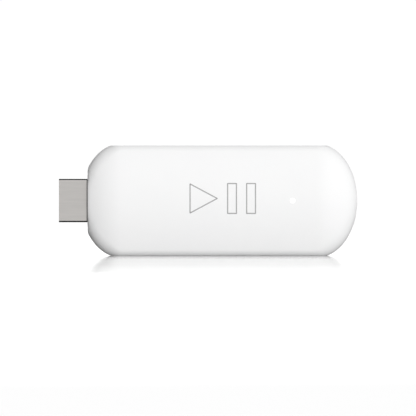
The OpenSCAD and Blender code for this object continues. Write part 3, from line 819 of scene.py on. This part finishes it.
# Circuit board. Woven glass laminate under green solder mask, with copper tracks that show
# through the mask as paler, slightly raised lines, and a field of small filled holes.
solder_mask, nodes, links, shader = new_material("solder_mask")
place = nodes.new("ShaderNodeTexCoord")
tracks = nodes.new("ShaderNodeTexVoronoi")
tracks.feature = "DISTANCE_TO_EDGE"
tracks.inputs["Scale"].default_value = 420
links.new(place.outputs["Object"], tracks.inputs["Vector"])
line = nodes.new("ShaderNodeMapRange")
line.inputs["From Min"].default_value = 0.05
line.inputs["From Max"].default_value = 0.09
line.inputs["To Min"].default_value = 1
line.inputs["To Max"].default_value = 0
links.new(tracks.outputs["Distance"], line.inputs["Value"])
shade = nodes.new("ShaderNodeMix")
shade.data_type = "RGBA"
shade.inputs["A"].default_value = (0.012, 0.11, 0.045, 1)
shade.inputs["B"].default_value = (0.03, 0.2, 0.085, 1)
links.new(line.outputs["Result"], shade.inputs["Factor"])
links.new(shade.outputs["Result"], shader.inputs["Base Color"])
weave = grain(nodes, links, 1800, 2.0)
links.new(spread(nodes, links, weave.outputs["Fac"], 0.28, 0.4), shader.inputs["Roughness"])
raised(nodes, links, shader, line.outputs["Result"], 0.02 * mm, 0.5)
finish(["main_board"], solder_mask)

# Chips, surge arrays, inductors and capacitors: black moulded epoxy, pressed iron powder and
# tan ceramic, all soldered flat to the board.
finish(["processor", "memory_chips", "storage_chip", "power_chip", "esd_arrays"],
    moulded("chip_epoxy", ((0.018, 0.018, 0.02), (0.03, 0.03, 0.032)), (0.5, 0.62), 4200, 0.006 * mm))
finish(["inductors"],
    moulded("iron_powder", ((0.045, 0.045, 0.047), (0.075, 0.075, 0.078)), (0.5, 0.7), 6000,
    0.012 * mm, 0.4))
finish(["capacitors"], moulded("tan_ceramic", ((0.27, 0.17, 0.085), (0.34, 0.22, 0.12)), (0.35, 0.45), 3500,
    0.004 * mm))

# Tin-plated sheet: the shields' fences and lids, the radio's can, the crystals' cans and the
# stamped aerials.
tin = plated("tin_plate", ((0.56, 0.56, 0.57), (0.66, 0.66, 0.67)), (0.26, 0.38), (0.08, 1, 1))
finish(["shield_frame_front", "shield_lid_front", "shield_frame_rear", "shield_lid_rear", "wifi_module",
    "crystals", "antenna_upper", "antenna_lower"], tin)

# Heat path: soft silicone pads on the chip and on the lid, then a rolled aluminium plate.
finish(["thermal_pad_chip", "thermal_pad_lid"],
    moulded("silicone_pad", ((0.26, 0.36, 0.5), (0.32, 0.43, 0.57)), (0.65, 0.8), 1800, 0.02 * mm))
finish(["heat_spreader"],
    plated("rolled_aluminium", ((0.74, 0.75, 0.76), (0.82, 0.83, 0.84)), (0.3, 0.42), (0.05, 1, 1)))

# Status light on the board and the four pan-head screws that hold the board.
finish(["status_led"], moulded("phosphor_cap", ((0.8, 0.72, 0.25), (0.9, 0.82, 0.35)), (0.25, 0.35), 2000,
    0.004 * mm))
finish(["board_screws"],
    plated("screw_nickel", ((0.42, 0.42, 0.44), (0.5, 0.5, 0.52)), (0.28, 0.36), (1, 0.2, 1)))

# Floor. A wide white table. Its top is polished where the stick stands and turns matt towards
# the front. It is only seen, and takes no part in lighting the stick.
floor_reach = 6.0
floor_mesh = bpy.data.meshes.new("floor")
floor_mesh.from_pydata([(-floor_reach, -floor_reach, 0), (floor_reach, -floor_reach, 0),
    (floor_reach, floor_reach, 0), (-floor_reach, floor_reach, 0)], [], [(0, 1, 2, 3)])
floor = bpy.data.objects.new("floor", floor_mesh)
bpy.context.scene.collection.objects.link(floor)
table_top, nodes, links, shader = new_material("table_top")
matt = nodes.new("ShaderNodeBsdfDiffuse")
matt.inputs["Color"].default_value = (0.9, 0.9, 0.9, 1)
mirror = nodes.new("ShaderNodeBsdfAnisotropic")
mirror.inputs["Color"].default_value = (1, 1, 1, 1)
mirror.inputs["Roughness"].default_value = 0.04
grazing = nodes.new("ShaderNodeFresnel")
grazing.inputs["IOR"].default_value = 1.45
polish_places = [(-1.3, 0.0), (-0.92, 0.66), (-0.6, 0.74), (-0.25, 0.69), (-0.16, 0.77),
    (-0.09, 0.95), (0.0, 1.0)]
polish = tone_along(nodes, links, "Y", polish_places)
part = nodes.new("ShaderNodeMath")
part.operation = "MULTIPLY"
both = nodes.new("ShaderNodeMixShader")
links.new(grazing.outputs["Fac"], part.inputs[0])
links.new(polish, part.inputs[1])
links.new(part.outputs["Value"], both.inputs["Fac"])
links.new(matt.outputs["BSDF"], both.inputs[1])
links.new(mirror.outputs["BSDF"], both.inputs[2])
links.new(both.outputs["Shader"], nodes["Material Output"].inputs["Surface"])
nodes.remove(shader)
floor_mesh.materials.append(table_top)
for ray in ("visible_diffuse", "visible_glossy", "visible_transmission", "visible_shadow"):
    setattr(floor, ray, False)

# Grey board just under the table top. It isn't seen: it only throws a little light up on the
# stick, and keeps the light out from below where the stick stands.
board_mesh = bpy.data.meshes.new("bounce_board")
board_drop = -0.02 * mm
board_mesh.from_pydata([(x * floor_reach, y * floor_reach, board_drop) for x, y in
    ((-1, -1), (1, -1), (1, 1), (-1, 1))], [], [(0, 1, 2, 3)])
bounce_board = bpy.data.objects.new("bounce_board", board_mesh)
bpy.context.scene.collection.objects.link(bounce_board)
board_grey = 0.25
grey_card, nodes, links, shader = new_material("grey_card")
shader.inputs["Base Color"].default_value = (board_grey, board_grey, board_grey, 1)
shader.inputs["Roughness"].default_value = 0.9
board_mesh.materials.append(grey_card)
for ray in ("visible_camera", "visible_glossy", "visible_transmission", "visible_shadow"):
    setattr(bounce_board, ray, False)

# Room light. White behind and above the stick, and dim in front, below and to the left, as in a
# studio with one big softbox. Polished parts mirror a white card in front, dark gaps above and
# below it, and a white strip behind at the level of the table. The camera sees plain white.
world = bpy.data.worlds.new("studio")
bpy.context.scene.world = world
world.use_nodes = True
nodes = world.node_tree.nodes
links = world.node_tree.links
nodes.clear()
place = nodes.new("ShaderNodeTexCoord")
parts = nodes.new("ShaderNodeSeparateXYZ")
links.new(place.outputs["Generated"], parts.inputs["Vector"])


def glow(value, start, stop, low, high):
    """Brightness that goes from low to high as a value goes from start to stop."""
    ramp = nodes.new("ShaderNodeMapRange")
    ramp.interpolation_type = "SMOOTHSTEP"
    ramp.inputs["From Min"].default_value = start
    ramp.inputs["From Max"].default_value = stop
    ramp.inputs["To Min"].default_value = low
    ramp.inputs["To Max"].default_value = high
    links.new(value, ramp.inputs["Value"])
    return ramp.outputs["Result"]


def worked_out(operation, *values):
    """The result of one sum on values that change over the room."""
    step = nodes.new("ShaderNodeMath")
    step.operation = operation
    for socket, value in zip(step.inputs, values):
        links.new(value, socket)
    return step.outputs["Value"]


across_room, into_room, up_room = parts.outputs["X"], parts.outputs["Y"], parts.outputs["Z"]
behind = glow(into_room, start=0.2, stop=0.9, low=0.0, high=1.0)
above = glow(up_room, start=0.1, stop=0.9, low=0.12, high=0.32)
right = glow(across_room, start=0.1, stop=1.0, low=0.0, high=0.14)
wall_light = nodes.new("ShaderNodeBackground")
links.new(worked_out("ADD", worked_out("ADD", behind, above), right), wall_light.inputs["Color"])
strip = glow(worked_out("ABSOLUTE", up_room), start=0.16, stop=0.06, low=0.06, high=1.3)
not_in_front = glow(into_room, start=-0.5, stop=-0.3, low=0.0, high=1.0)
far_wall = glow(into_room, start=0.9, stop=0.97, low=0.05, high=1.3)
right_wall = glow(across_room, start=0.6, stop=0.9, low=0.0, high=0.5)
mirrored_walls = worked_out("MAXIMUM", worked_out("MULTIPLY", strip, not_in_front),
    worked_out("MAXIMUM", far_wall, right_wall))
card_edge = glow(into_room, start=-0.5, stop=-0.7, low=0.0, high=1.1)
card_middle = glow(into_room, start=-0.8, stop=-0.93, low=0.0, high=-0.17)
card = nodes.new("ShaderNodeBackground")
links.new(worked_out("MAXIMUM", mirrored_walls, worked_out("ADD", card_edge, card_middle)),
    card.inputs["Color"])
plain = nodes.new("ShaderNodeBackground")
plain.inputs["Color"].default_value = (1, 1, 1, 1)
plain.inputs["Strength"].default_value = 1.02
seen = nodes.new("ShaderNodeLightPath")
gloss_choice = nodes.new("ShaderNodeMixShader")
links.new(seen.outputs["Is Glossy Ray"], gloss_choice.inputs["Fac"])
links.new(wall_light.outputs["Background"], gloss_choice.inputs[1])
links.new(card.outputs["Background"], gloss_choice.inputs[2])
choice = nodes.new("ShaderNodeMixShader")
links.new(seen.outputs["Is Camera Ray"], choice.inputs["Fac"])
links.new(gloss_choice.outputs["Shader"], choice.inputs[1])
links.new(plain.outputs["Background"], choice.inputs[2])
output = nodes.new("ShaderNodeOutputWorld")
links.new(choice.outputs["Shader"], output.inputs["Surface"])

# Softbox, in front of the stick, a little to the right and a little above it.
aim = Vector((0.34, -0.9, 0.165)).normalized()
box_distance = 2.5
box_data = bpy.data.lights.new("softbox", "AREA")
box_data.shape = "SQUARE"
box_data.size = 1.2
box_data.energy = 59.4
softbox = bpy.data.objects.new("softbox", box_data)
bpy.context.scene.collection.objects.link(softbox)
softbox.location = middle + aim * box_distance
softbox.rotation_euler = (-aim).to_track_quat("-Z", "Y").to_euler()
softbox.visible_camera = False
softbox.visible_glossy = False

# Table light, which falls only on the floor, so that the floor reads as plain white.
lamp_data = bpy.data.lights.new("table_light", "SUN")
lamp_data.angle = math.radians(100)
lamp_data.energy = 2.0
table_light = bpy.data.objects.new("table_light", lamp_data)
bpy.context.scene.collection.objects.link(table_light)
lit_by_lamp = bpy.data.collections.new("lit_by_table_light")
lit_by_lamp.objects.link(floor)
table_light.light_linking.receiver_collection = lit_by_lamp

# Camera. A long lens, level and square to the front face.
frame_width = 133.54 * mm
aside = 3.52 * mm
below = 2.38 * mm
lens = 1000.0
sensor = 36.0
camera_data = bpy.data.cameras.new("camera")
camera_data.lens = lens
camera_data.sensor_width = sensor
camera_data.clip_start = 0.01
camera_data.clip_end = 50
camera = bpy.data.objects.new("camera", camera_data)
bpy.context.scene.collection.objects.link(camera)
camera.location = (middle.x - aside, -frame_width * lens / sensor, middle.z - below)
camera.rotation_euler = (math.radians(90), 0, 0)
bpy.context.scene.camera = camera
bpy.context.scene.view_settings.view_transform = "Standard"
